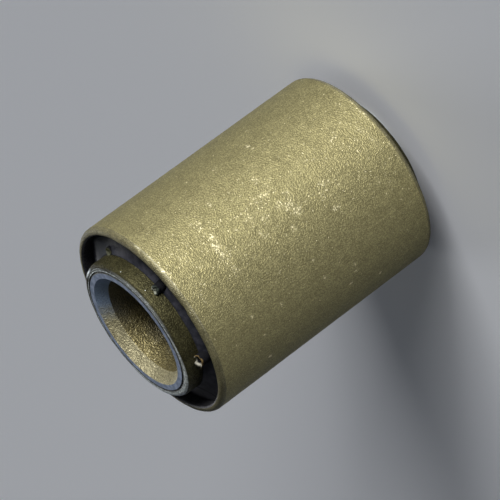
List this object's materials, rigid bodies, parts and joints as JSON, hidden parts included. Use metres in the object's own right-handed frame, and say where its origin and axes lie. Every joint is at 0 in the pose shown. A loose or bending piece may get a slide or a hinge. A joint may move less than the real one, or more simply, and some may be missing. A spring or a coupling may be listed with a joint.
{
  "type": "rubber metal bush",
  "caption": "Bonded rubber metal bush: a thin outer steel sleeve and a longer, thicker inner steel sleeve with rubber moulded between them, as pressed into an arm or spring eye.",
  "frame": {"origin": "middle of the lower end face of the inner sleeve, on which the bush stands", "axes": "+Z along the common axis of the two sleeves, towards the end that carries the torn moulding gates; the ends are alike otherwise. -Y is the side turned to the viewer."},
  "size_m": [0.0444, 0.0444, 0.064],
  "materials": {
    "coated_steel": "matt bronze coloured granular coating",
    "rubber": "matt"
  },
  "bodies": {
    "root": {"outer_sleeve": "coated_steel", "inner_sleeve": "coated_steel", "rubber_body": "rubber"}
  },
  "joints": []
}
